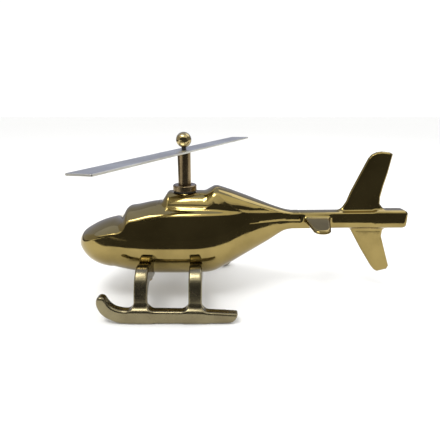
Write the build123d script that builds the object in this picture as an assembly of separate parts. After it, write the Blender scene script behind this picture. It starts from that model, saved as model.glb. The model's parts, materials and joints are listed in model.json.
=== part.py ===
from build123d import *
import math
import os

# A polished brass helicopter paperweight on skids. Millimetres.
# Frame: origin on the table under the middle of the model, +X towards the tail,
# -X towards the nose, +Z up. The port side is -Y.

# ---- driving dimensions: overall ----
NOSE_X = -137.2
TAIL_X = 137.2
MAST_X = -47.4

# ---- cabin and tail cone ----
NOSE_LENGTH = 29.8          # length of the rounded nose, along X
NOSE_Z = 52.2               # height of the nose tip
NOSE_HALF_WIDTH = 27.2
NOSE_TIP_RISE = 9.0         # nose tip up to the crease line, at the very front
NOSE_RISE = 17.6            # the same, where the nose runs into the cabin
NOSE_DROP = 26.2            # nose tip down to the belly
NOSE_CREASE_RATIO = 0.91    # half-width at the crease over the largest half-width
ROOF_CROWN = 6.4            # how far the roof's middle stands above its creases
BELLY_Z = 20.0

# Stations of the cabin and cone: x, half-width, height of the widest line, belly,
# half-width at the crease, height of the crease, crown of the top.
CABIN_STATIONS = [
    (-89.8, 28.4, 49.8, 22.0, 23.2, 72.0, 6.4),
    (-70.6, 28.8, 48.8, BELLY_Z, 21.6, 75.6, ROOF_CROWN),
    (-46.6, 28.8, 48.8, BELLY_Z, 21.6, 76.6, ROOF_CROWN),
    (-26.6, 27.2, 49.6, 20.8, 21.2, 76.6, ROOF_CROWN),
    (-14.6, 24.6, 52.2, 24.8, 20.0, 76.4, 6.0),
    (-0.2, 19.4, 57.4, 33.2, 16.6, 75.8, 4.8),
    (19.0, 12.2, 62.6, 45.6, 10.8, 74.4, 2.6),
    (40.0, 6.6, 65.8, 59.2, 5.8, 72.6, 0.8),
]

# ---- nose deck and windscreen ----
DECK_Z = 68.0               # top of the nose deck, at the windscreen's foot
DECK_RADIUS = 62.0          # the deck is part of a large sphere
DECK_CENTRE_X = -98.0
WINDSCREEN_FOOT_X = -101.4
WINDSCREEN_RADIUS = 42.0    # the windscreen's curve in plan
WINDSCREEN_LEAN = 34.0      # degrees from upright

# ---- cowl on the roof ----
COWL_DECK_Z = 90.8          # mast deck, on the centre line
COWL_FOOT_Z = 69.2
COWL_SHOULDER = 3.4         # radius between the cowl's sides and its top
# Stations of the cowl: x, half-width, height on the centre line, crown.
COWL_STATIONS = [
    (-67.5, 12.0, 81.2, 2.2),
    (-61.0, 12.6, COWL_DECK_Z, 2.4),
    (-30.5, 13.0, COWL_DECK_Z, 2.4),
    (-23.6, 13.2, 94.8, 2.4),
    (-20.4, 13.2, 95.0, 2.4),
    (-9.6, 13.4, 91.6, 2.6),
    (7.4, 12.8, 85.2, 2.8),
    (24.4, 9.4, 78.6, 2.0),
    (40.0, 5.6, 72.8, 0.8),
]

# ---- boom, tail block ----
BOOM_HALF_WIDTH = 5.6
BOOM_TOP_Z = 72.2
BOOM_BOTTOM_Z = 59.2
BOOM_START_X = 35.0
BOOM_RISE = 2.0             # the boom's far end stands this much higher
BOOM_EDGE = 2.0
BLOCK_START_X = 110.0
BLOCK_EXTRA = 0.8
BLOCK_EDGE = 2.6

# ---- fins and tailplane ----
FIN_THICKNESS = 4.2
TAILPLANE_ROOT_Z = 68.6
TAILPLANE_TIP_Z = 64.2      # the tips droop
TAILPLANE_ROOT_X = 62.6
TAILPLANE_ROOT_CHORD = 23.5
TAILPLANE_TIP_CHORD = 12.0
TAILPLANE_TIP_SHIFT = -1.8
TAILPLANE_HALF_SPAN = 31.5
TAILPLANE_ROOT_THICKNESS = 5.0
TAILPLANE_TIP_THICKNESS = 3.2

# ---- mast and rotor ----
SEAT_Z = 90.3
SEAT_RADIUS = 8.6           # raised boss under the mast
SPOT_FACE_RADIUS = 10.2     # the boss's top is machined flat out to here
WASHER_THICKNESS = 1.2
WASHER_RADIUS = 9.0
COLLAR_RADIUS = 9.8
COLLAR_HEIGHT = 4.8
COLLAR_ROUND = 1.2
COLUMN_RADIUS = 5.3
BLADE_BOTTOM_Z = 122.9      # at the mast
BLADE_THICKNESS = 1.5
BLADE_WIDTH = 16.6
BLADE_HALF_LENGTH = 109.2
BLADE_RAKE = 4.6            # each tip is cut back by this across the width
BLADE_ANGLE = 61.4          # degrees about Z from the tail direction
BLADE_LEAN = 1.5            # degrees; the loose blade leans on its pin, port end down
BLADE_CORNER = 0.8
THRUST_WASHER_THICKNESS = 0.4
THRUST_WASHER_RADIUS = 4.0
BALL_RADIUS = 6.1
BALL_CENTRE_Z = 132.2
PIN_RADIUS = 1.93
PIN_DEPTH = 9.0
PIN_IN_BALL = 6.5
STUD_RADIUS = 2.5
STUD_REACH = 12.0
CHAMFER = 0.4

# ---- landing gear ----
RUNNER_Y = 52.0
RUNNER_WIDTH = 8.0
RUNNER_EDGE = 2.4
RUNNER_HEEL_X = -5.0
HEEL_EDGE = 1.6
# Stations of the runner's centre line, heel to toe: x, z, pitch in degrees, width, thickness.
# The bar starts a little below the table and is then ground flat.
RUNNER_STATIONS = [
    (RUNNER_HEEL_X, 4.1, 0, RUNNER_WIDTH, 9.0),
    (-20.0, 4.6, 0, RUNNER_WIDTH, 10.0),
    (-38.0, 5.0, 0, RUNNER_WIDTH, 10.8),
    (-62.0, 5.2, 0, RUNNER_WIDTH, 11.2),
    (-90.0, 5.2, 0, RUNNER_WIDTH, 11.2),
]
TOE_STATIONS = [
    (-90.0, 5.2, 0, RUNNER_WIDTH, 11.2),
    (-97.3, 6.7, 12, RUNNER_WIDTH, 10.8),
    (-102.2, 8.9, 30, RUNNER_WIDTH, 10.2),
    (-105.8, 12.4, 55, RUNNER_WIDTH, 9.0),
    (-107.7, 16.2, 72, 7.8, 7.8),
    (-108.3, 19.4, 85, 7.2, 6.2),
    (-108.3, 21.4, 90, 5.2, 3.6),
]
LEG_XS = {"front": -78.9, "rear": -37.6}
LEG_WIDTH = 10.2
LEG_FILLET = 5.0
FOOT_Z = 9.0                # just under the runner's top
SCREW_SEAT_Z = 21.0         # spot face under each pad
SCREW_Y = 17.8
SCREW_RADIUS = 2.0
SCREW_HEAD_RADIUS = 3.75
SCREW_HEAD_HEIGHT = 2.4
SCREW_REACH = 12.0          # above its seat
SLOT_WIDTH = 1.0
SLOT_DEPTH = 1.2

# ---- fits ----
RUNNING_GAP = 0.08          # blade on its pin, radial
THREAD_GAP = 0.02           # plain cylinders that stand for threads, radial
AXIAL_GAP = 0.16            # blade above its thrust washer, at the pin
SEAM_GAP = 0.05             # between castings that lie face to face

SIDES = {"left": -1, "right": 1}


def cylinder_z(radius, low, high, x=0.0, y=0.0):
    """An upright cylinder between two heights."""
    body = Cylinder(radius, high - low, align=(Align.CENTER, Align.CENTER, Align.MIN))
    return Pos(x, y, low) * body


def side_extrusion(points, half_width):
    """An outline in the XZ plane, thickened both ways along Y."""
    outline = Polyline(*points, close=True)
    face = Plane.XZ * make_face(outline)
    return extrude(face, half_width, both=True)


def hull_section(x, half_width, wide_z, belly_z, crease_width, crease_z, crown):
    """One cross section of the cabin: crowned top, crisp creases, bulged sides."""
    flank_z = belly_z + 0.27 * (wide_z - belly_z)
    bilge_width = 0.75 * half_width
    shoulder_z = 0.5 * (wide_z + crease_z)
    shoulder_width = crease_width + 0.72 * (half_width - crease_width)
    right = Spline(
        (crease_width, crease_z),
        (shoulder_width, shoulder_z),
        (half_width, wide_z),
        (bilge_width, flank_z),
        (0, belly_z),
        tangents=[(0.45, -1), (-1, 0)],
    )
    left = mirror(right, Plane.YZ)
    top = ThreePointArc((-crease_width, crease_z), (0, crease_z + crown), (crease_width, crease_z))
    plane = Plane(origin=(x, 0, 0), x_dir=(0, 1, 0), z_dir=(1, 0, 0))
    return plane * make_face([right, left, top])


def nose_section(distance):
    """The nose sections shrink along an ellipse towards the nose tip."""
    rest = 1 - distance / NOSE_LENGTH
    scale = math.sqrt(1 - rest * rest)
    rise = NOSE_TIP_RISE + (NOSE_RISE - NOSE_TIP_RISE) * (1 - rest) ** 2
    return hull_section(
        NOSE_X + distance,
        NOSE_HALF_WIDTH * scale,
        NOSE_Z,
        NOSE_Z - NOSE_DROP * scale,
        NOSE_HALF_WIDTH * NOSE_CREASE_RATIO * scale,
        NOSE_Z + rise * scale,
        ROOF_CROWN * scale,
    )


def make_cabin():
    """Cabin and cone: a loft, with the nose deck and windscreen cut from its front."""
    nose_steps = [0.9, 3.2, 7.2, 13.0, 20.5, NOSE_LENGTH]
    nose = loft([Vertex(NOSE_X, 0, NOSE_Z)] + [nose_section(step) for step in nose_steps])
    middle = loft([nose_section(NOSE_LENGTH)] + [hull_section(*station) for station in CABIN_STATIONS])
    cabin = nose + middle

    reach = 60.0
    block = Pos(WINDSCREEN_FOOT_X, 0, DECK_Z) * Box(2 * reach, 2 * reach, 2 * reach)
    under_deck = Pos(DECK_CENTRE_X, 0, DECK_Z - DECK_RADIUS) * Sphere(DECK_RADIUS)
    lean = Rot(0, WINDSCREEN_LEAN, 0)
    behind_screen = (
        Pos(WINDSCREEN_FOOT_X, 0, DECK_Z) * lean
        * Pos(WINDSCREEN_RADIUS, 0, 0) * Cylinder(WINDSCREEN_RADIUS, 6 * reach)
    )
    aft = Pos(WINDSCREEN_FOOT_X + reach + WINDSCREEN_RADIUS, 0, DECK_Z) * Box(2 * reach, 2 * reach, 6 * reach)
    return cabin - (block - under_deck - behind_screen - aft)


def cowl_section(x, half_width, top_z, crown):
    """Upright sides, rounded shoulders and a crowned top."""
    corner = min(COWL_SHOULDER, 0.4 * half_width)
    side_z = top_z - crown - corner
    inner = half_width - corner
    bend = half_width - 0.29 * corner
    foot = Line((-half_width, COWL_FOOT_Z), (half_width, COWL_FOOT_Z))
    right = Line(foot @ 1, (half_width, side_z))
    right_round = ThreePointArc(right @ 1, (bend, side_z + 0.71 * corner), (inner, top_z - crown))
    top = ThreePointArc(right_round @ 1, (0, top_z), (-inner, top_z - crown))
    left_round = ThreePointArc(top @ 1, (-bend, side_z + 0.71 * corner), (-half_width, side_z))
    left = Line(left_round @ 1, foot @ 0)
    plane = Plane(origin=(x, 0, 0), x_dir=(0, 1, 0), z_dir=(1, 0, 0))
    return plane * make_face([foot, right, right_round, top, left_round, left])


def make_cowl():
    """Engine cowl: front slope, mast deck, aft ramp, and a long slope to the boom."""
    return loft([cowl_section(*station) for station in COWL_STATIONS], ruled=True)


def make_boom():
    """Tail boom with its slightly thicker end block."""
    middle_z = 0.5 * (BOOM_TOP_Z + BOOM_BOTTOM_Z)
    height = BOOM_TOP_Z - BOOM_BOTTOM_Z
    length = TAIL_X - BOOM_START_X
    section = Plane.YZ * RectangleRounded(2 * BOOM_HALF_WIDTH, height, BOOM_EDGE)
    raised = Pos(length, 0, BOOM_RISE) * section
    boom = Pos(BOOM_START_X, 0, middle_z) * loft([section, raised])

    block_length = TAIL_X - BLOCK_START_X
    block = Box(
        block_length, 2 * (BOOM_HALF_WIDTH + BLOCK_EXTRA), height + 2 * BLOCK_EXTRA,
        align=(Align.MIN, Align.CENTER, Align.CENTER),
    )
    block = fillet(block.edges(), BLOCK_EDGE)
    return boom + Pos(BLOCK_START_X, 0, middle_z + BOOM_RISE - 0.1) * block


def make_fin(points):
    """A flat swept fin with rounded edges."""
    fin = side_extrusion(points, FIN_THICKNESS / 2)
    rims = [e for e in fin.edges() if abs(abs(e.center().Y) - FIN_THICKNESS / 2) < 0.01]
    return fillet(rims, 0.9)


def make_upper_fin():
    return make_fin([
        (77.0, 67.0), (80.8, 73.0), (86.2, 81.2), (89.3, 90.2), (95.8, 105.6), (100.9, 117.3),
        (103.4, 120.6), (106.8, 122.5), (111.0, 123.2), (118.2, 122.4), (120.4, 121.0),
        (118.3, 105.6), (116.3, 94.8), (114.9, 85.4), (115.2, 80.0), (119.0, 76.2), (121.0, 67.0),
    ])


def make_lower_fin():
    return make_fin([
        (88.0, 67.0), (92.6, 57.4), (103.7, 39.4), (114.5, 23.7), (118.2, 19.2),
        (120.6, 17.8), (129.2, 20.2), (130.6, 23.6), (124.5, 39.9), (120.4, 51.2),
        (120.2, 56.2), (124.0, 67.0),
    ])


def tailplane_section(y, z, chord, shift, thickness):
    plane = Plane(origin=(TAILPLANE_ROOT_X + shift, y, z), x_dir=(1, 0, 0), z_dir=(0, 1, 0))
    return plane * RectangleRounded(chord, thickness, 0.46 * thickness)


def make_tailplane():
    """One drooping tongue each side, thicker and wider where it leaves the boom."""
    root = (TAILPLANE_ROOT_Z, TAILPLANE_ROOT_CHORD, 0.0, TAILPLANE_ROOT_THICKNESS)
    tip = (TAILPLANE_TIP_Z, TAILPLANE_TIP_CHORD, TAILPLANE_TIP_SHIFT, TAILPLANE_TIP_THICKNESS)
    pieces = []
    for side in SIDES.values():
        inner = tailplane_section(side * 3.0, *root)
        outer = tailplane_section(side * TAILPLANE_HALF_SPAN, *tip)
        pieces.append(loft([inner, outer]))
    return pieces[0] + pieces[1]


def screw_positions():
    for end, x in LEG_XS.items():
        for side, sign in SIDES.items():
            yield end, side, x, sign * SCREW_Y


def make_fuselage():
    """The one-piece casting, drilled for the mast stud and the gear screws."""
    seat = cylinder_z(SEAT_RADIUS, COWL_DECK_Z - 6, SEAT_Z, MAST_X)
    body = make_cabin() + make_cowl() + seat + make_boom()
    body = body + make_upper_fin() + make_lower_fin() + make_tailplane()
    body -= cylinder_z(SPOT_FACE_RADIUS, SEAT_Z, SEAT_Z + 5, MAST_X)
    body -= cylinder_z(STUD_RADIUS + THREAD_GAP, SEAT_Z - STUD_REACH - 1, SEAT_Z + 1, MAST_X)
    for _, _, x, y in screw_positions():
        body -= cylinder_z(SCREW_RADIUS + THREAD_GAP, 0, SCREW_SEAT_Z + SCREW_REACH + 1, x, y)
    return body


def toe_section(x, z, pitch, width, thickness):
    """A rounded section across the toe, where the runner has turned up by pitch."""
    turn = math.radians(pitch)
    plane = Plane(origin=(x, 0, z), x_dir=(0, 1, 0), z_dir=(-math.cos(turn), 0, math.sin(turn)))
    return plane * RectangleRounded(width, thickness, min(RUNNER_EDGE, 0.45 * thickness))


def make_runner():
    """Rounded bar with a flat sole and a blunt heel, and a toe that curls up."""
    bar = loft([toe_section(*station) for station in RUNNER_STATIONS])
    heel = bar.faces().sort_by(Axis.X)[-1].edges()
    bar = fillet(heel, HEEL_EDGE)
    toe = loft([toe_section(*station) for station in TOE_STATIONS])
    length = RUNNER_HEEL_X - TOE_STATIONS[-1][0]
    waste = Box(4 * length, 4 * RUNNER_WIDTH, RUNNER_WIDTH, align=(Align.CENTER, Align.CENTER, Align.MAX))
    return Pos(0, RUNNER_Y, 0) * (bar + toe - waste)


def leg_profile():
    """Half of an arch seen from behind: a thick root against the belly's flank, shoulder, leg."""
    outer = Spline(
        (17.0, 32.0), (25.0, 36.6), (32.0, 38.8), (39.0, 38.0), (45.0, 34.0), (49.4, 27.0),
        (52.2, 18.0), (53.8, FOOT_Z),
        tangents=[(1, 0.6), (0.1, -1)],
    )
    outside = Line(outer @ 1, (53.8, 4.0))
    sole = Line(outside @ 1, (49.4, 4.0))
    inside = Line(sole @ 1, (49.4, FOOT_Z))
    inner = Spline(
        inside @ 1, (48.3, 14.5), (45.8, 19.8), (42.4, 23.7), (38.0, 25.3), (33.0, 25.0),
        (27.0, 23.3), (20.0, 21.2), (10.0, 20.4),
        tangents=[(-0.05, 1), (-1, 0)],
    )
    end = Line(inner @ 1, (10.0, 32.0))
    top = Line(end @ 1, outer @ 0)
    return make_face([outer, outside, sole, inside, inner, end, top])


def make_right_skid(fuselage):
    """Runner and two legs, cast in one, with the pads trimmed to the belly."""
    skid = make_runner()
    for x in LEG_XS.values():
        section = Plane(origin=(x, 0, 0), x_dir=(0, 1, 0), z_dir=(1, 0, 0)) * leg_profile()
        skid += extrude(section, LEG_WIDTH / 2, both=True)
        for end in (-1, 1):
            skid += leg_foot(x + end * LEG_WIDTH / 2, end)
    skid -= Pos(0, 0, -SEAM_GAP) * fuselage
    for x in LEG_XS.values():
        skid -= cylinder_z(SCREW_RADIUS + THREAD_GAP, 0, 2 * SCREW_SEAT_Z, x, SCREW_Y)
        skid -= cylinder_z(SCREW_HEAD_RADIUS + 0.4, 0, SCREW_SEAT_Z, x, SCREW_Y)
    return max(skid.solids(), key=lambda solid: solid.volume)


def leg_foot(x, end):
    """The cast fillet between a leg and the runner's top."""
    heel = (x + end * LEG_FILLET, FOOT_Z)
    top = (x, FOOT_Z + LEG_FILLET)
    bend = (x + end * 0.3 * LEG_FILLET, FOOT_Z + 0.3 * LEG_FILLET)
    inward = x - end * 1.0
    edges = [
        ThreePointArc(heel, bend, top),
        Line(top, (inward, top[1])),
        Line((inward, top[1]), (inward, FOOT_Z)),
        Line((inward, FOOT_Z), heel),
    ]
    fillet_body = extrude(Plane.XZ * make_face(edges), 1.7, both=True)
    return Pos(0, 51.2, 0) * fillet_body


def make_screw(x, y):
    """Slotted cheese-head screw, driven up into the belly."""
    shank = cylinder_z(SCREW_RADIUS, SCREW_SEAT_Z - 0.5, SCREW_SEAT_Z + SCREW_REACH, x, y)
    tip = shank.faces().sort_by(Axis.Z)[-1].edges()
    shank = chamfer(tip, CHAMFER)
    head_bottom = SCREW_SEAT_Z - SCREW_HEAD_HEIGHT
    head = cylinder_z(SCREW_HEAD_RADIUS, head_bottom, SCREW_SEAT_Z, x, y)
    rim = head.faces().sort_by(Axis.Z)[0].edges()
    head = fillet(rim, 0.6)
    slot = Pos(x, y, head_bottom) * Box(4 * SCREW_HEAD_RADIUS, SLOT_WIDTH, 2 * SLOT_DEPTH)
    return shank + head - slot


def make_mast_washer():
    ring = cylinder_z(WASHER_RADIUS, SEAT_Z, SEAT_Z + WASHER_THICKNESS, MAST_X)
    return ring - cylinder_z(COLUMN_RADIUS + SEAM_GAP, SEAT_Z - 1, SEAT_Z + 5, MAST_X)


def make_mast_collar():
    low = SEAT_Z + WASHER_THICKNESS
    ring = cylinder_z(COLLAR_RADIUS, low, low + COLLAR_HEIGHT, MAST_X)
    ring = fillet(ring.faces().sort_by(Axis.Z)[-1].edges(), COLLAR_ROUND)
    ring = fillet(ring.faces().sort_by(Axis.Z)[0].edges(), CHAMFER)
    return ring - cylinder_z(COLUMN_RADIUS + SEAM_GAP, low - 1, low + COLLAR_HEIGHT + 1, MAST_X)


def column_top():
    return BLADE_BOTTOM_Z - AXIAL_GAP - THRUST_WASHER_THICKNESS


def make_mast_column():
    column = cylinder_z(COLUMN_RADIUS, SEAT_Z, column_top(), MAST_X)
    column = chamfer(column.edges(), CHAMFER)
    column -= cylinder_z(STUD_RADIUS + THREAD_GAP, SEAT_Z - 1, SEAT_Z + STUD_REACH + 1, MAST_X)
    return column - cylinder_z(PIN_RADIUS + THREAD_GAP, column_top() - PIN_DEPTH - 0.5, column_top() + 1, MAST_X)


def make_mast_stud():
    stud = cylinder_z(STUD_RADIUS, SEAT_Z - STUD_REACH, SEAT_Z + STUD_REACH, MAST_X)
    return chamfer(stud.edges(), CHAMFER)


def make_thrust_washer():
    low = column_top()
    ring = cylinder_z(THRUST_WASHER_RADIUS, low, low + THRUST_WASHER_THICKNESS, MAST_X)
    return ring - cylinder_z(PIN_RADIUS + RUNNING_GAP, low - 1, low + 1, MAST_X)


def make_rotor_blade():
    """One flat strip, both blades in one piece, with both tips cut at the same slant."""
    tip = BLADE_HALF_LENGTH
    side = BLADE_WIDTH / 2
    outline = Polyline(
        (-tip, side), (BLADE_RAKE - tip, -side), (tip, -side), (tip - BLADE_RAKE, side), close=True
    )
    strip = extrude(make_face(outline), BLADE_THICKNESS)
    strip = fillet(strip.edges().filter_by(Axis.Z), BLADE_CORNER)
    flats = strip.edges().filter_by(Axis.Z, reverse=True)
    strip = fillet(flats, 0.35)
    strip -= Cylinder(PIN_RADIUS + RUNNING_GAP, 4 * BLADE_THICKNESS)
    return Pos(MAST_X, 0, BLADE_BOTTOM_Z) * Rot(0, 0, BLADE_ANGLE) * Rot(0, -BLADE_LEAN, 0) * strip


def make_rotor_pin():
    pin = cylinder_z(PIN_RADIUS, column_top() - PIN_DEPTH, BALL_CENTRE_Z - BALL_RADIUS + PIN_IN_BALL, MAST_X)
    return chamfer(pin.edges(), CHAMFER)


def make_ball_finial():
    ball = Pos(MAST_X, 0, BALL_CENTRE_Z) * Sphere(BALL_RADIUS)
    low = BALL_CENTRE_Z - BALL_RADIUS
    return ball - cylinder_z(PIN_RADIUS + THREAD_GAP, low - 1, low + PIN_IN_BALL + 0.5, MAST_X)


def main():
    os.makedirs("parts", exist_ok=True)
    fuselage = make_fuselage()
    right_skid = make_right_skid(fuselage)
    nodes = {
        "fuselage_casting": fuselage,
        "left_skid": mirror(right_skid, Plane.XZ),
        "right_skid": right_skid,
        "mast_washer": make_mast_washer(),
        "mast_collar": make_mast_collar(),
        "mast_column": make_mast_column(),
        "mast_stud": make_mast_stud(),
        "thrust_washer": make_thrust_washer(),
        "rotor_blade": make_rotor_blade(),
        "rotor_pin": make_rotor_pin(),
        "ball_finial": make_ball_finial(),
    }
    for end, side, x, y in screw_positions():
        nodes[f"{end}_{side}_gear_screw"] = make_screw(x, y)
    for name, shape in nodes.items():
        shape.label = name
        export_step(shape, f"parts/{name}.step")
        box = shape.bounding_box()
        print(name, "solids", len(shape.solids()), "valid", shape.is_valid,
              "x", round(box.min.X, 2), round(box.max.X, 2),
              "y", round(box.min.Y, 2), round(box.max.Y, 2),
              "z", round(box.min.Z, 2), round(box.max.Z, 2))


main()
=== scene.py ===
import json
import math
import bpy
import numpy as np
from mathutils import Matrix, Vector


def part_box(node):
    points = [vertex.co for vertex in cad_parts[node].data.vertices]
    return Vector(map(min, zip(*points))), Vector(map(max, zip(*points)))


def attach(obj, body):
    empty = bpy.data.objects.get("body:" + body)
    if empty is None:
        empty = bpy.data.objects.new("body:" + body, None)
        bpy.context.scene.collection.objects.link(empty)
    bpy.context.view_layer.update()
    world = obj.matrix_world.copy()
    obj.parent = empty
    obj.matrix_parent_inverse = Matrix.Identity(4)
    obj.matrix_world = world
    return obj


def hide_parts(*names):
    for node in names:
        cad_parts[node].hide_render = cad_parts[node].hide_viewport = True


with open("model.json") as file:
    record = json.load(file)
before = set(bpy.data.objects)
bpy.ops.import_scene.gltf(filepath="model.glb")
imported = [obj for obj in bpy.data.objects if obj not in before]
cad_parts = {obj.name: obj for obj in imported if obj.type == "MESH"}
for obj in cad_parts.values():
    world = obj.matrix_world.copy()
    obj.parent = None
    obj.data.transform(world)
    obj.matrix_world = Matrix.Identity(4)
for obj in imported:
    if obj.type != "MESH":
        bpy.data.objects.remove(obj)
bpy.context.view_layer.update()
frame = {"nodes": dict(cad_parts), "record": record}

MM = 0.001


# ---------------------------------------------------------------------------
# Places read from the frame, in millimetres
# ---------------------------------------------------------------------------

def box_mm(node):
    """The low and high corners of a CAD node's box."""
    low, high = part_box(node)
    return [v / MM for v in low], [v / MM for v in high]


BODY_LOW, BODY_HIGH = box_mm("fuselage_casting")
SKID_LOW, SKID_HIGH = box_mm("right_skid")
COLUMN_LOW, COLUMN_HIGH = box_mm("mast_column")
WASHER_LOW = box_mm("mast_washer")[0]
SCREW_LOW, SCREW_HIGH = box_mm("front_right_gear_screw")

SCREW_HEAD_HEIGHT = 2.4
SCREW_HEAD_CLEARANCE = 0.4

NOSE_X = BODY_LOW[0]
TAIL_X = BODY_HIGH[0]
MAST_X = 0.5 * (COLUMN_LOW[0] + COLUMN_HIGH[0])
SEAT_Z = WASHER_LOW[2]
SCREW_Y = 0.5 * (SCREW_LOW[1] + SCREW_HIGH[1])
SCREW_CLEAR = 0.5 * (SCREW_HIGH[1] - SCREW_LOW[1]) + SCREW_HEAD_CLEARANCE
SCREW_SEAT_Z = SCREW_LOW[2] + SCREW_HEAD_HEIGHT


# ---------------------------------------------------------------------------
# Solid modelling with distance fields: every field is negative inside
# ---------------------------------------------------------------------------

def smooth_max(a, b, radius):
    """Intersection whose edge is rounded to about the given radius."""
    blend = np.maximum(radius - np.abs(a - b), 0.0) / radius
    return np.maximum(a, b) + 0.25 * radius * blend * blend


def smooth_min(a, b, radius):
    """Union with a fillet of about the given radius."""
    return -smooth_max(-a, -b, radius)


def slopes(xs, ys):
    """Tangents that keep a curve through the points free of overshoot."""
    step = np.diff(xs)
    rise = np.diff(ys) / step
    tangent = np.zeros(len(xs))
    tangent[0] = rise[0]
    tangent[-1] = rise[-1]
    for i in range(1, len(xs) - 1):
        if rise[i - 1] * rise[i] > 0:
            a = 2 * step[i] + step[i - 1]
            b = step[i] + 2 * step[i - 1]
            tangent[i] = (a + b) / (a / rise[i - 1] + b / rise[i])
    return tangent


def curve_through(points):
    """A smooth function of x through a few (x, value) points."""
    xs = np.array([p[0] for p in points], float)
    ys = np.array([p[1] for p in points], float)
    tangent = slopes(xs, ys)

    def value(x):
        x = np.clip(x, xs[0], xs[-1])
        i = np.clip(np.searchsorted(xs, x) - 1, 0, len(xs) - 2)
        width = xs[i + 1] - xs[i]
        t = (x - xs[i]) / width
        t2 = t * t
        t3 = t2 * t
        return ((2 * t3 - 3 * t2 + 1) * ys[i] + (t3 - 2 * t2 + t) * width * tangent[i]
                + (3 * t2 - 2 * t3) * ys[i + 1] + (t3 - t2) * width * tangent[i + 1])

    return value


def gradient(field, x, y, z, step=0.05):
    """The field's slope along each axis, by central differences."""
    gx = (field(x + step, y, z) - field(x - step, y, z)) / (2 * step)
    gy = (field(x, y + step, z) - field(x, y - step, z)) / (2 * step)
    gz = (field(x, y, z + step) - field(x, y, z - step)) / (2 * step)
    return gx, gy, gz


def as_distance(field, x, y, z, step=0.1):
    """A field divided by its own slope, so that it reads in millimetres near the surface."""
    value = field(x, y, z)
    gx = (field(x + step, y, z) - value) / step
    gy = (field(x, y + step, z) - value) / step
    gz = (field(x, y, z + step) - value) / step
    return value / np.maximum(np.sqrt(gx * gx + gy * gy + gz * gz), 0.02)


def polygon_distance(u, v, points):
    """Signed distance to a closed outline in a plane."""
    nearest = np.full(u.shape, 1e9)
    inside = np.zeros(u.shape, bool)
    for (au, av), (bu, bv) in zip(points, points[1:] + points[:1]):
        du = bu - au
        dv = bv - av
        t = np.clip(((u - au) * du + (v - av) * dv) / (du * du + dv * dv), 0, 1)
        nearest = np.minimum(nearest, (u - au - t * du) ** 2 + (v - av - t * dv) ** 2)
        crosses = (av > v) != (bv > v)
        at = au + (v - av) * du / (dv if dv else 1e-9)
        inside ^= crosses & (u < at)
    distance = np.sqrt(nearest)
    return np.where(inside, -distance, distance)


def rounded_box(x, y, z, centre, half, radius):
    """Signed distance to a box with every edge rounded."""
    qx = np.abs(x - centre[0]) - half[0] + radius
    qy = np.abs(y - centre[1]) - half[1] + radius
    qz = np.abs(z - centre[2]) - half[2] + radius
    outside = np.sqrt(np.maximum(qx, 0) ** 2 + np.maximum(qy, 0) ** 2 + np.maximum(qz, 0) ** 2)
    return outside + np.minimum(np.maximum(qx, np.maximum(qy, qz)), 0) - radius


# ---------------------------------------------------------------------------
# From a field to a mesh: surface nets, then every vertex is moved onto the surface
# ---------------------------------------------------------------------------

def cell_vertices(values, mixed, origin, pitch):
    """One vertex for each cell that the surface crosses, at the mean of its edge crossings."""
    cells = np.argwhere(mixed)
    total = np.zeros((len(cells), 3))
    count = np.zeros(len(cells))
    corners = [(a, b, c) for a in (0, 1) for b in (0, 1) for c in (0, 1)]
    for first in corners:
        for second in corners:
            if sum(second) - sum(first) != 1 or any(s < f for f, s in zip(first, second)):
                continue
            va = values[tuple((cells + first).T)]
            vb = values[tuple((cells + second).T)]
            hit = (va < 0) != (vb < 0)
            t = np.where(hit, va / np.where(hit, va - vb, 1.0), 0.0)
            point = np.array(first) + t[:, None] * (np.array(second) - np.array(first))
            total += point * hit[:, None]
            count += hit
    return origin + (cells + total / count[:, None]) * pitch


def cell_quads(values, index):
    """One quad around each grid edge that the surface crosses."""
    quads = []
    negative = values < 0
    for axis in range(3):
        other = [a for a in range(3) if a != axis]
        here = np.moveaxis(negative, axis, 0)
        change = here[:-1] != here[1:]
        places = np.argwhere(change)
        keep = (places[:, 1] > 0) & (places[:, 2] > 0)
        places = places[keep]
        grid = np.moveaxis(index, axis, 0)
        places = places[(places[:, 1] < grid.shape[1]) & (places[:, 2] < grid.shape[2])]
        i, j, k = places.T
        ring = np.stack([grid[i, j - 1, k - 1], grid[i, j, k - 1], grid[i, j, k], grid[i, j - 1, k]],
                        axis=1)
        outward = here[i, j, k]
        if other == [0, 2]:
            outward = ~outward
        ring[~outward] = ring[~outward][:, ::-1]
        quads.append(ring)
    return np.concatenate(quads)


def mesh_from_field(name, field, low, high, pitch):
    """A closed quad mesh of the surface where the field is zero, with its true normals."""
    margin = 2.5 * pitch
    axes = [np.arange(low[a] - margin, high[a] + margin + pitch, pitch) for a in range(3)]
    x, y, z = np.meshgrid(*axes, indexing="ij", sparse=True)
    values = field(x, y, z)
    negative = values < 0
    total = np.zeros(tuple(n - 1 for n in values.shape), int)
    for a in (0, 1):
        for b in (0, 1):
            for c in (0, 1):
                total += negative[a:total.shape[0] + a, b:total.shape[1] + b, c:total.shape[2] + c]
    mixed = (total > 0) & (total < 8)
    origin = np.array([axis[0] for axis in axes])
    points = cell_vertices(values, mixed, origin, pitch)
    index = np.full(mixed.shape, -1)
    index[mixed] = np.arange(len(points))
    quads = cell_quads(values, index)
    for _ in range(5):
        px, py, pz = points.T
        value = field(px, py, pz)
        gx, gy, gz = gradient(field, px, py, pz)
        size = np.maximum(gx * gx + gy * gy + gz * gz, 0.1)
        move = np.clip(value / size, -pitch, pitch)
        points = points - np.stack([move * gx, move * gy, move * gz], axis=1)
    gx, gy, gz = gradient(field, *points.T)
    normals = np.stack([gx, gy, gz], axis=1)
    normals /= np.maximum(np.linalg.norm(normals, axis=1), 1e-9)[:, None]
    return new_mesh(name, points * MM, quads, normals)


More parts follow.
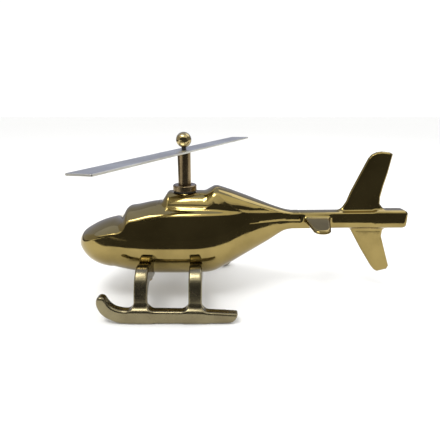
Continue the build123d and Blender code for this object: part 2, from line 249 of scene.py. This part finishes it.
def new_mesh(name, points, faces, normals=None):
    """A smooth-shaded mesh object in the scene, from points in metres."""
    mesh = bpy.data.meshes.new(name)
    mesh.from_pydata([tuple(p) for p in points], [], [tuple(int(i) for i in f) for f in faces])
    mesh.update()
    mesh.shade_smooth()
    if normals is not None:
        mesh.normals_split_custom_set_from_vertices([tuple(n) for n in normals])
    piece = bpy.data.objects.new(name, mesh)
    bpy.context.scene.collection.objects.link(piece)
    return piece


# ---------------------------------------------------------------------------
# Fuselage casting
# ---------------------------------------------------------------------------

NOSE_LENGTH = 29.8
NOSE_END_X = NOSE_X + NOSE_LENGTH
NOSE_REACH = NOSE_LENGTH + 0.6          # makes up for the rounding at the tip
DECK_TOP = (-98.0, 68.2)
DECK_RADIUS = 62.0
SCREEN_FOOT_X = -101.4
SCREEN_RADIUS = 42.0
SCREEN_LEAN = math.tan(math.radians(34.0))
FLANK_POWER = 2.15          # 2 would make the belly an ellipse in section
CREASE_POWER = 1.9          # how fast the flanks draw in towards the crease
CREASE_OVERRUN = 1.6        # the flanks run on above the crease, up to this share of their rise
CREASE_EDGE = 1.1           # radius along the crease
NOSE_EDGE = 6.0             # added to it at the nose's tip
NOSE_SOFT_X = -108.0        # the crease starts to soften ahead of here
NOSE_SOFT_LENGTH = 26.0
SCREEN_EDGE = 1.8
DECK_FILLET = 4.0

half_width = curve_through([
    (NOSE_END_X, 27.4), (-89.8, 28.4), (-70.6, 28.8), (-46.6, 28.8), (-26.6, 27.2), (-12.0, 23.9),
    (2.0, 18.7), (19.0, 12.2), (32.0, 7.8), (42.0, 5.6)])
wide_height = curve_through([
    (NOSE_END_X, 52.2), (-89.8, 50.6), (-70.6, 49.8), (-46.6, 49.6), (-26.6, 50.6), (-12.0, 53.2),
    (2.0, 57.6), (19.0, 62.6), (42.0, 65.9)])
belly_height = curve_through([
    (NOSE_END_X, 26.0), (-89.8, 22.2), (-70.6, 20.0), (-46.6, 20.0), (-31.0, 20.2), (-23.0, 21.8),
    (-16.0, 25.4), (2.0, 35.6), (22.0, 47.4), (38.0, 57.6), (42.0, 59.2)])
crease_width = curve_through([
    (NOSE_END_X, 24.9), (-89.8, 23.2), (-70.6, 21.6), (-46.6, 21.6), (-26.6, 21.2), (-12.0, 19.4),
    (2.0, 16.2), (19.0, 10.8), (32.0, 7.4), (42.0, 5.4)])
crease_height = curve_through([
    (NOSE_END_X, 69.6), (-89.8, 72.0), (-70.6, 75.6), (-46.6, 76.6), (-26.6, 76.6), (2.0, 76.0),
    (19.0, 74.6), (42.0, 72.4)])
roof_crown = curve_through([(NOSE_END_X, 6.4), (-26.6, 6.4), (2.0, 4.8), (19.0, 2.8), (42.0, 0.6)])


def hull_side(x, y, z):
    """Bulging flanks, round belly and round nose: zero at the surface, minus one on the axis."""
    wide = half_width(x)
    middle = wide_height(x)
    drop = middle - belly_height(x)
    rise = crease_height(x) - middle
    below = np.maximum(middle - z, 0.0) / drop
    above = np.maximum(z - middle, 0.0) / rise
    width_above = wide - (wide - crease_width(x)) * np.minimum(above, CREASE_OVERRUN) ** CREASE_POWER
    upper = np.abs(y) / np.maximum(width_above, 1.0)
    lower = ((np.abs(y) / wide) ** FLANK_POWER + below ** FLANK_POWER) ** (1 / FLANK_POWER)
    across = np.where(z < middle, lower, upper)
    ahead = np.maximum(NOSE_END_X - x, 0.0) / NOSE_REACH
    return np.sqrt(across * across + ahead * ahead) - 1.0


def hull_roof(x, y, z):
    """Above the roof: crowned across, and level with the creases at its sides."""
    crown = roof_crown(x)
    return z - crease_height(x) - crown + crown * (y / crease_width(x)) ** 2


def hull_screen(x, y, z):
    """Ahead of the windscreen: a cylinder that leans back."""
    lean_x = x - SCREEN_FOOT_X - (z - DECK_TOP[1]) * SCREEN_LEAN
    reach = np.minimum(lean_x - SCREEN_RADIUS, 0.0)
    return (np.sqrt(reach * reach + y * y) - SCREEN_RADIUS) / math.sqrt(1 + SCREEN_LEAN ** 2)


def hull_deck(x, y, z):
    """The nose deck, part of a large sphere."""
    low = z - DECK_TOP[1] + DECK_RADIUS
    return np.sqrt((x - DECK_TOP[0]) ** 2 + y * y + low * low) - DECK_RADIUS


def cabin_field(x, y, z):
    side = as_distance(hull_side, x, y, z)
    roof = as_distance(hull_roof, x, y, z)
    upper = smooth_max(roof, hull_screen(x, y, z), SCREEN_EDGE)
    top = smooth_min(hull_deck(x, y, z), upper, DECK_FILLET)
    nose_roundness = np.clip((NOSE_SOFT_X - x) / NOSE_SOFT_LENGTH, 0.0, 1.0)
    return smooth_max(side, top, CREASE_EDGE + NOSE_EDGE * nose_roundness * nose_roundness)


# The cowl's top on the centre line: front, mast deck, peak and ramp.
COWL_TOP = [(-67.6, 81.2), (-61.2, 90.8), (-30.5, 90.8), (-23.4, 94.9), (-20.2, 95.1), (-9.6, 91.7),
            (7.4, 85.4), (24.4, 78.8), (42.0, 72.4)]
cowl_width = curve_through([
    (-67.6, 12.2), (-61.0, 12.9), (-22.0, 13.4), (2.0, 13.2), (12.0, 12.0), (26.0, 8.8), (42.0, 5.2)])
cowl_crown = curve_through([(-67.6, 2.2), (-3.0, 2.6), (12.0, 2.8), (26.0, 2.0), (42.0, 0.8)])


def cowl_top(x):
    """The top line, its corners softened by averaging over a short stretch."""
    xs = [p[0] for p in COWL_TOP]
    zs = [p[1] for p in COWL_TOP]
    spread = (-1.2, -0.6, 0.0, 0.6, 1.2)
    return sum(np.interp(x + s, xs, zs) for s in spread) / len(spread)


def cowl_roof(x, y, z):
    width = cowl_width(x)
    return z - cowl_top(x) + cowl_crown(x) * (y / width) ** 2


COWL_LEAN = 0.5             # the cowl's sides lean in by this much for each millimetre up
LEAN_END_X = 26.0           # they stand upright from here aft
LEAN_FADE = 36.0
COWL_FOOT_Z = 69.2
COWL_AFT_X = 46.0


def cowl_field(x, y, z):
    """The engine cowl, kept within the hull's own flanks."""
    top = as_distance(cowl_roof, x, y, z)
    width = cowl_width(x)
    drop = np.clip(cowl_top(x) - 4.0 - z, -8.0, 7.0)
    lean = COWL_LEAN * np.clip((LEAN_END_X - x) / LEAN_FADE, 0.0, 1.0)
    side = (np.abs(y) - width - lean * drop) / math.sqrt(1 + COWL_LEAN ** 2)
    front = COWL_TOP[0][0] - 1.0 - x
    under = COWL_FOOT_Z - z
    aft = x - COWL_AFT_X
    shoulder = 0.6 + 0.3 * width
    flanks = as_distance(hull_side, x, y, z) + 0.5
    block = np.maximum(np.maximum(smooth_max(side, top, shoulder), front), np.maximum(under, aft))
    return np.maximum(block, flanks)


BOOM_MIDDLE_Z = 65.7
BOOM_RISE = 2.0
BOOM_START_X = 35.0
BOOM_LAP = 6.0              # the boom begins this far inside the cone
BOOM_SHORT = 4.0            # and ends this far inside the end block
BOOM_HALF_WIDTH = 5.6
BOOM_HALF_HEIGHT = 6.5
BOOM_EDGE = 2.0
BLOCK_START_X = 109.0
BLOCK_HALF_WIDTH = 6.4
BLOCK_HALF_HEIGHT = 7.3
BLOCK_EDGE = 2.8


def boom_middle(x):
    return BOOM_MIDDLE_Z + BOOM_RISE * (x - BOOM_START_X) / (TAIL_X - BOOM_START_X)


def boom_field(x, y, z):
    middle = boom_middle(x)
    centre = (0.5 * (BOOM_START_X - BOOM_LAP + TAIL_X - BOOM_SHORT), 0.0, 0.0)
    half_length = 0.5 * (TAIL_X - BOOM_SHORT - BOOM_START_X + BOOM_LAP)
    half = (half_length, BOOM_HALF_WIDTH, BOOM_HALF_HEIGHT)
    return rounded_box(x, y, z - middle, centre, half, BOOM_EDGE)


def tail_block_field(x, y, z):
    centre = (0.5 * (BLOCK_START_X + TAIL_X), 0.0, BOOM_MIDDLE_Z + BOOM_RISE - 0.1)
    half = (0.5 * (TAIL_X - BLOCK_START_X), BLOCK_HALF_WIDTH, BLOCK_HALF_HEIGHT)
    return rounded_box(x, y, z, centre, half, BLOCK_EDGE)


# Both fins seen from the side, with cast fillets where they leave the boom.
UPPER_FIN = [
    (75.0, 67.2), (79.6, 72.4), (84.4, 77.4), (86.8, 81.8), (89.3, 89.8), (95.8, 105.6),
    (100.9, 117.6), (103.4, 120.8), (106.8, 122.5), (111.0, 123.1), (117.6, 122.4), (120.4, 121.0),
    (118.4, 105.6), (116.3, 94.8), (115.0, 85.4), (115.4, 79.8), (118.4, 76.0), (121.0, 67.2),
]
LOWER_FIN = [
    (88.0, 65.2), (92.6, 57.6), (103.7, 39.4), (114.3, 23.7), (117.8, 19.6), (120.6, 18.0),
    (129.0, 20.2), (130.5, 23.6), (124.5, 39.9), (120.4, 51.2), (120.6, 56.6), (124.0, 65.2),
]
FIN_HALF_THICKNESS = 2.1
FIN_EDGE = 3.0


def fin_field(x, y, z, outline):
    flat = polygon_distance(x + 0 * z, z + 0 * x, outline)
    return smooth_max(flat, np.abs(y) - FIN_HALF_THICKNESS, FIN_EDGE)


TAILPLANE_X = 62.6
TAILPLANE_Z = 68.6
TAILPLANE_REACH = 31.4      # from the centre line to each tip
TAILPLANE_HALF_CHORD = 11.8
TAILPLANE_TAPER = 5.6       # lost from the half-chord by the tip
TAILPLANE_SWEEP = 1.8       # the tips lie this much further forward
TAILPLANE_DROOP = 4.4
TAILPLANE_HALF_THICKNESS = 2.5
TAILPLANE_THINNING = 0.9
TIP_CORNER = 5.0
TAILPLANE_EDGE = 2.4


def tailplane_field(x, y, z):
    """A stub tongue each side: its edges close in towards the tip, it thins, and it droops."""
    out = np.clip(np.abs(y) / TAILPLANE_REACH, 0, 1.2)
    chord = TAILPLANE_HALF_CHORD - TAILPLANE_TAPER * out
    middle = TAILPLANE_X - TAILPLANE_SWEEP * out
    thick = TAILPLANE_HALF_THICKNESS - TAILPLANE_THINNING * out
    droop = TAILPLANE_DROOP * out
    slant = 0.97            # cosine of the edges' angle in plan
    plan = smooth_max((np.abs(x - middle) - chord) * slant, np.abs(y) - TAILPLANE_REACH, TIP_CORNER)
    return smooth_max(plan, np.abs(z - TAILPLANE_Z + droop) - thick, TAILPLANE_EDGE)


SEAT_RADIUS = 8.8
SPOT_FACE_RADIUS = 10.3
SEAT_DEPTH = 10.0
SEAT_EDGE = 0.8


def seat_field(x, y, z):
    """The raised boss under the mast, and the cut that faces its top flat."""
    radial = np.sqrt((x - MAST_X) ** 2 + y * y)
    boss = np.maximum(smooth_max(radial - SEAT_RADIUS, z - SEAT_Z, SEAT_EDGE), SEAT_Z - SEAT_DEPTH - z)
    spot = np.maximum(radial - SPOT_FACE_RADIUS, SEAT_Z - z)
    return boss, spot


COWL_FILLET = 2.4
BLOCK_FILLET = 1.2
BOOM_FILLET = 3.0
FIN_FILLET = 2.6
SEAT_FILLET = 1.2
SPOT_FACE_EDGE = 0.5


def fuselage_field(x, y, z):
    """The whole casting: every part runs into the next with a cast fillet."""
    body = smooth_min(cabin_field(x, y, z), cowl_field(x, y, z), COWL_FILLET)
    boom = smooth_min(boom_field(x, y, z), tail_block_field(x, y, z), BLOCK_FILLET)
    body = smooth_min(body, boom, BOOM_FILLET)
    body = smooth_min(body, tailplane_field(x, y, z), BOOM_FILLET)
    body = smooth_min(body, fin_field(x, y, z, UPPER_FIN), FIN_FILLET)
    body = smooth_min(body, fin_field(x, y, z, LOWER_FIN), FIN_FILLET)
    boss, spot = seat_field(x, y, z)
    body = smooth_min(body, boss, SEAT_FILLET)
    body = smooth_max(body, -spot, SPOT_FACE_EDGE)
    ends = np.maximum(NOSE_X - x, x - TAIL_X)
    return np.maximum(body, ends)


# ---------------------------------------------------------------------------
# Landing gear castings
# ---------------------------------------------------------------------------

RUNNER_Y = 52.0
RUNNER_HALF_WIDTH = 4.0
LEG_XS = (-78.9, -37.6)
LEG_HALF_WIDTH = 5.1
RUNNER_EDGE = 2.6
LEG_EDGE = 1.8
LEG_FILLET = 6.0
SEAM_GAP = 0.05             # between the leg roots and the belly
ROOT_EDGE = 0.5

# Seen from the side: sole, heel, top and the curled toe.
RUNNER_OUTLINE = [
    (-92.0, 0.0), (-12.0, 0.0), (-8.2, 1.8), (-5.8, 5.0), (-5.2, 8.2), (-6.4, 8.7), (-20.0, 9.6),
    (-38.0, 10.4), (-62.0, 10.8), (-90.0, 10.9), (-95.6, 12.0), (-98.8, 13.4), (-101.0, 15.2),
    (-102.8, 17.6), (-104.0, 20.2), (-105.4, 22.2), (-108.2, 22.8), (-110.4, 21.6), (-111.4, 19.1),
    (-111.5, 15.0), (-109.6, 9.8), (-107.2, 6.8), (-104.2, 4.4), (-101.0, 2.7), (-98.0, 1.3),
    (-95.0, 0.4),
]
# Half of an arch seen from behind: along its top from the belly to the runner, and back inside.
LEG_TOP = [
    (17.0, 32.0), (25.0, 36.6), (32.0, 39.0), (39.2, 38.4), (45.4, 34.2), (49.6, 27.0), (52.3, 18.0),
    (53.7, 10.0), (53.9, 4.0),
]
LEG_UNDER = [
    (49.3, 4.0), (49.1, 9.8), (48.0, 14.8), (45.8, 19.8), (42.4, 23.7), (38.0, 25.3), (33.0, 25.0),
    (27.0, 23.3), (20.0, 21.2), (10.0, 20.4),
]


def rounded_polyline(points, rounds=3):
    """The same open outline with its corners cut again and again, so that it reads as a curve."""
    for _ in range(rounds):
        finer = [points[0]]
        for (au, av), (bu, bv) in zip(points, points[1:]):
            finer.append((0.75 * au + 0.25 * bu, 0.75 * av + 0.25 * bv))
            finer.append((0.25 * au + 0.75 * bu, 0.25 * av + 0.75 * bv))
        finer.append(points[-1])
        points = finer
    return points


LEG_OUTLINE = rounded_polyline(LEG_TOP) + rounded_polyline(LEG_UNDER)
RUNNER_CURVE = rounded_polyline(RUNNER_OUTLINE + RUNNER_OUTLINE[:1], 2)[:-1]


def skid_field(x, y, z):
    """The starboard casting: runner and two legs, with cast fillets between them."""
    outline = polygon_distance(x + 0 * z, z + 0 * x, RUNNER_CURVE)
    skid = smooth_max(outline, np.abs(y - RUNNER_Y) - RUNNER_HALF_WIDTH, RUNNER_EDGE)
    arch = polygon_distance(y + 0 * z, z + 0 * y, LEG_OUTLINE)
    for leg_x in LEG_XS:
        leg = smooth_max(arch, np.abs(x - leg_x) - LEG_HALF_WIDTH, LEG_EDGE)
        skid = smooth_min(skid, leg, LEG_FILLET)
        radial = np.sqrt((x - leg_x) ** 2 + (y - SCREW_Y) ** 2)
        seat = np.maximum(radial - SCREW_CLEAR, z - SCREW_SEAT_Z)
        skid = np.maximum(skid, -seat)
    skid = smooth_max(skid, -cabin_field(x, y, z) + SEAM_GAP, ROOT_EDGE)
    return np.maximum(np.maximum(skid, -z), SKID_LOW[1] - y)


# ---------------------------------------------------------------------------
# Materials
# ---------------------------------------------------------------------------

def material(name):
    """A new material and its surface shader."""
    mat = bpy.data.materials.new(name)
    mat.use_nodes = True
    nodes = mat.node_tree.nodes
    nodes.clear()
    out = nodes.new("ShaderNodeOutputMaterial")
    shader = nodes.new("ShaderNodeBsdfPrincipled")
    mat.node_tree.links.new(shader.outputs[0], out.inputs[0])
    return mat, shader


def noise(mat, scale, detail=3.0, stretch=(1, 1, 1), roughness=0.5):
    """Object-space noise, in waves per metre."""
    nodes = mat.node_tree.nodes
    links = mat.node_tree.links
    place = nodes.new("ShaderNodeTexCoord")
    mapping = nodes.new("ShaderNodeMapping")
    mapping.inputs["Scale"].default_value = stretch
    links.new(place.outputs["Object"], mapping.inputs["Vector"])
    texture = nodes.new("ShaderNodeTexNoise")
    texture.inputs["Scale"].default_value = scale
    texture.inputs["Detail"].default_value = detail
    texture.inputs["Roughness"].default_value = roughness
    links.new(mapping.outputs[0], texture.inputs["Vector"])
    return texture.outputs["Fac"]


def ramp(mat, source, stops):
    """A colour ramp from (place, colour) pairs."""
    node = mat.node_tree.nodes.new("ShaderNodeValToRGB")
    elements = node.color_ramp.elements
    while len(elements) < len(stops):
        elements.new(0.5)
    for element, (place, colour) in zip(elements, stops):
        element.position = place
        element.color = (*colour, 1)
    mat.node_tree.links.new(source, node.inputs[0])
    return node.outputs[0]


def levels(mat, source, low, high, from_low=0.3, from_high=0.7):
    """The source's middle range stretched to run from low to high."""
    node = mat.node_tree.nodes.new("ShaderNodeMapRange")
    node.inputs["From Min"].default_value = from_low
    node.inputs["From Max"].default_value = from_high
    node.inputs["To Min"].default_value = low
    node.inputs["To Max"].default_value = high
    mat.node_tree.links.new(source, node.inputs["Value"])
    return node.outputs[0]


def bump(mat, shader, layers):
    """Stacked bumps: each layer is (height source, distance in metres, strength)."""
    previous = None
    for source, distance, strength in layers:
        node = mat.node_tree.nodes.new("ShaderNodeBump")
        node.inputs["Distance"].default_value = distance
        node.inputs["Strength"].default_value = strength
        mat.node_tree.links.new(source, node.inputs["Height"])
        if previous:
            mat.node_tree.links.new(previous, node.inputs["Normal"])
        previous = node.outputs[0]
    mat.node_tree.links.new(previous, shader.inputs["Normal"])


def brass(name, light, dark, rough_low, rough_high, wave=0.25, scratch=0.1, grain=(1, 1, 1)):
    """Polished brass: slow tarnish, uneven polish, hand-polished waves and fine scratches."""
    mat, shader = material(name)
    shader.inputs["Metallic"].default_value = 1.0
    tarnish = noise(mat, 38.0, 4.0)
    colour = ramp(mat, tarnish, [(0.32, dark), (0.62, light)])
    mat.node_tree.links.new(colour, shader.inputs["Base Color"])
    smear = noise(mat, 160.0, 5.0, roughness=0.6)
    rough = levels(mat, smear, rough_low, rough_high)
    mat.node_tree.links.new(rough, shader.inputs["Roughness"])
    waves = noise(mat, 55.0, 1.5)
    fine = noise(mat, 2600.0, 2.0, grain)
    bump(mat, shader, [(waves, 0.0006, wave), (fine, 0.00003, scratch)])
    return mat


def dark_matt(name, colour, rough):
    """A dark surface without shine, slightly speckled."""
    mat, shader = material(name)
    speckle = noise(mat, 900.0, 3.0)
    shade = ramp(mat, speckle, [(0.3, tuple(0.6 * c for c in colour)), (0.7, colour)])
    mat.node_tree.links.new(shade, shader.inputs["Base Color"])
    shader.inputs["Roughness"].default_value = rough
    bump(mat, shader, [(speckle, 0.00005, 0.5)])
    return mat


# Each brass is (light colour, dark colour, lowest roughness, highest roughness).
BODY = ((0.31, 0.235, 0.085), (0.235, 0.175, 0.062), 0.05, 0.12)
GEAR = ((0.25, 0.215, 0.125), (0.185, 0.155, 0.09), 0.20, 0.30)
MAST = ((0.27, 0.20, 0.11), (0.17, 0.12, 0.06), 0.16, 0.28)
BALL = ((0.44, 0.35, 0.17), (0.32, 0.25, 0.11), 0.06, 0.12)
BLADE = ((0.66, 0.65, 0.58), (0.52, 0.50, 0.44), 0.26, 0.40)
SCREW = ((0.40, 0.32, 0.15), (0.28, 0.21, 0.10), 0.15, 0.30)
STEEL = ((0.55, 0.55, 0.55), (0.42, 0.42, 0.42), 0.2, 0.35)
TURNED = (0.2, 0.2, 3)      # the scratches of a turned rod run round it

MATERIALS = {
    "body_brass": brass("body_brass", *BODY),
    "gear_brass": brass("gear_brass", *GEAR),
    "mast_brass": brass("mast_brass", *MAST, wave=0.1, scratch=0.4, grain=TURNED),
    "ball_brass": brass("ball_brass", *BALL, wave=0.1),
    "blade_brass": brass("blade_brass", *BLADE, wave=0.3, scratch=0.6),
    "screw_brass": brass("screw_brass", *SCREW, wave=0.2),
    # The washer under the mast collar is near-black and matt: painted shade, standing for the dark
    # shadow gap where the collar sits on the deck.
    "black_fibre": dark_matt("black_fibre", (0.02, 0.02, 0.02), 0.7),
    "dark_steel": dark_matt("dark_steel", (0.03, 0.026, 0.02), 0.35),
    "steel": brass("steel", *STEEL, wave=0.1),
}


def paint(piece, slot):
    piece.data.materials.clear()
    piece.data.materials.append(MATERIALS[slot])


def paint_cad_nodes():
    """Each CAD node that stays visible takes the material of its record slot."""
    slots = {part["node"]: part["material_slot"] for part in frame["record"]["subparts"]}
    for name, node in frame["nodes"].items():
        for index in range(max(1, len(node.material_slots))):
            if node.material_slots:
                node.material_slots[index].material = MATERIALS[slots[name]]
            else:
                node.data.materials.append(MATERIALS[slots[name]])


# ---------------------------------------------------------------------------
# Pieces
# ---------------------------------------------------------------------------

def add_fuselage():
    pitch = 0.7
    piece = mesh_from_field("fuselage_polished", fuselage_field, BODY_LOW, BODY_HIGH, pitch)
    paint(piece, "body_brass")
    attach(piece, "airframe")
    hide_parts("fuselage_casting")


def add_skids():
    pitch = 0.55
    right = mesh_from_field("right_skid_cast", skid_field, SKID_LOW, SKID_HIGH, pitch)
    mesh = right.data
    points = np.array([v.co for v in mesh.vertices]) * (1, -1, 1)
    faces = [tuple(reversed(p.vertices)) for p in mesh.polygons]
    normals = np.array([n.vector for n in mesh.vertex_normals]) * (1, -1, 1)
    left = new_mesh("left_skid_cast", points, faces, normals)
    for piece, node in ((right, "right_skid"), (left, "left_skid")):
        paint(piece, "gear_brass")
        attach(piece, "airframe")
        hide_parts(node)


# ---------------------------------------------------------------------------
# Stage: floor, cards, lights and camera
# ---------------------------------------------------------------------------

def flat_card(name, corners, colour):
    """A matt rectangle in the scene, and its shader."""
    mesh = bpy.data.meshes.new(name)
    mesh.from_pydata(corners, [], [(0, 1, 2, 3)])
    card = bpy.data.objects.new(name, mesh)
    bpy.context.scene.collection.objects.link(card)
    mat, shader = material(name)
    shader.inputs["Base Color"].default_value = (*colour, 1)
    shader.inputs["Roughness"].default_value = 0.9
    shader.inputs["Specular IOR Level"].default_value = 0.1
    mesh.materials.append(mat)
    return card, shader


def add_floor():
    reach = 6.0
    flat_card("floor", [(-reach, -reach, 0), (reach, -reach, 0), (reach, reach, 0), (-reach, reach, 0)],
              (0.92, 0.92, 0.91))


def reflected_card(name, corners, glow):
    """A flag or panel that only reflections see."""
    card, shader = flat_card(name, corners, (0, 0, 0))
    shader.inputs["Emission Color"].default_value = (*glow, 1)
    shader.inputs["Emission Strength"].default_value = 1.0
    card.visible_camera = False
    card.visible_diffuse = False
    card.visible_shadow = False


ROOM_HALF_WIDTH = 1.6
ROOM_FRONT_Y = -1.1
ROOM_BACK_Y = 1.3
ROOM_HEIGHT = 1.35
WALL_HEIGHT = 1.0           # of the dark wall behind the camera
RUG_EDGE_Y = -0.155         # where the dark ground in front of the model begins
RUG_LEFT_X = -0.40          # and how far it reaches to the left
RUG_SIDE_X = -0.46          # a second patch begins here, beside the nose
PANEL_EDGE_Y = -0.15        # the bright ceiling panel ends above here


RUG_Z = 0.002               # the ground cards lie just above the floor

DARK = (0.08, 0.08, 0.085)
DARK_SIDE = (0.10, 0.09, 0.08)
GREY_BACK = (0.42, 0.45, 0.58)
GREY_LEFT = (0.45, 0.44, 0.43)
GREY_RIGHT = (0.30, 0.30, 0.31)
GREY_CEILING = (0.62, 0.68, 0.95)
BRIGHT = (1.35, 1.35, 1.25)


def upright(x1, y1, x2, y2, height):
    return [(x1, y1, 0), (x2, y2, 0), (x2, y2, height), (x1, y1, height)]


def level(x1, y1, x2, y2, z):
    return [(x1, y1, z), (x2, y1, z), (x2, y2, z), (x1, y2, z)]


def add_room():
    """What polished brass sees: a dark room behind the camera, grey walls, a bright panel above."""
    wide = ROOM_HALF_WIDTH
    front = ROOM_FRONT_Y
    back = ROOM_BACK_Y
    high = ROOM_HEIGHT
    reflected_card("dark_wall", upright(-wide, front, wide, front, WALL_HEIGHT), DARK)
    reflected_card("dark_ground", level(RUG_LEFT_X, front, wide, RUG_EDGE_Y, RUG_Z), DARK)
    reflected_card("dark_side_ground", level(-wide, RUG_EDGE_Y, RUG_SIDE_X, back, RUG_Z), DARK_SIDE)
    reflected_card("grey_back", upright(-wide, back, wide, back, high), GREY_BACK)
    reflected_card("grey_left", upright(-wide, front, -wide, back, high), GREY_LEFT)
    reflected_card("grey_right", upright(wide, front, wide, back, high), GREY_RIGHT)
    reflected_card("grey_ceiling", level(-wide, PANEL_EDGE_Y, wide, back, high), GREY_CEILING)
    reflected_card("bright_panel", level(-wide, front, wide, PANEL_EDGE_Y, high), BRIGHT)


def add_light(name, place, aim, size, power):
    """A soft rectangular lamp aimed at a point."""
    data = bpy.data.lights.new(name, "AREA")
    data.shape = "RECTANGLE"
    data.size, data.size_y = size
    data.energy = power
    lamp = bpy.data.objects.new(name, data)
    lamp.location = place
    lamp.rotation_euler = (Vector(aim) - Vector(place)).to_track_quat("-Z", "Y").to_euler()
    bpy.context.scene.collection.objects.link(lamp)


WORLD_STRENGTH = 1.05


def add_world():
    world = bpy.data.worlds.new("studio")
    bpy.context.scene.world = world
    world.use_nodes = True
    nodes = world.node_tree.nodes
    nodes["Background"].inputs["Color"].default_value = (1.0, 1.0, 1.0, 1)
    nodes["Background"].inputs["Strength"].default_value = WORLD_STRENGTH
    bpy.context.scene.view_settings.view_transform = "Standard"


CAMERA_PLACE = (-0.02256, -0.2917, 0.1568)
CAMERA_PITCH = 17.4         # degrees below level
CAMERA_LENS = 29.45
CAMERA_SENSOR = 36.0
CAMERA_SHIFT = 0.0114


def add_camera():
    data = bpy.data.cameras.new("camera")
    data.sensor_width = CAMERA_SENSOR
    data.lens = CAMERA_LENS
    data.shift_x = CAMERA_SHIFT
    data.clip_start = 0.001
    camera = bpy.data.objects.new("camera", data)
    camera.location = CAMERA_PLACE
    camera.rotation_euler = (math.radians(90 - CAMERA_PITCH), 0, 0)
    bpy.context.scene.collection.objects.link(camera)
    bpy.context.scene.camera = camera


LIGHT_AIM = (0, 0, 0.05)

paint_cad_nodes()
add_fuselage()
add_skids()
add_floor()
add_room()
add_light("key", (-0.35, -0.45, 1.2), LIGHT_AIM, (0.6, 0.35), 7)
add_light("fill", (0.7, 0.5, 1.0), LIGHT_AIM, (0.8, 0.8), 3)
add_world()
add_camera()

bpy.context.view_layer.update()
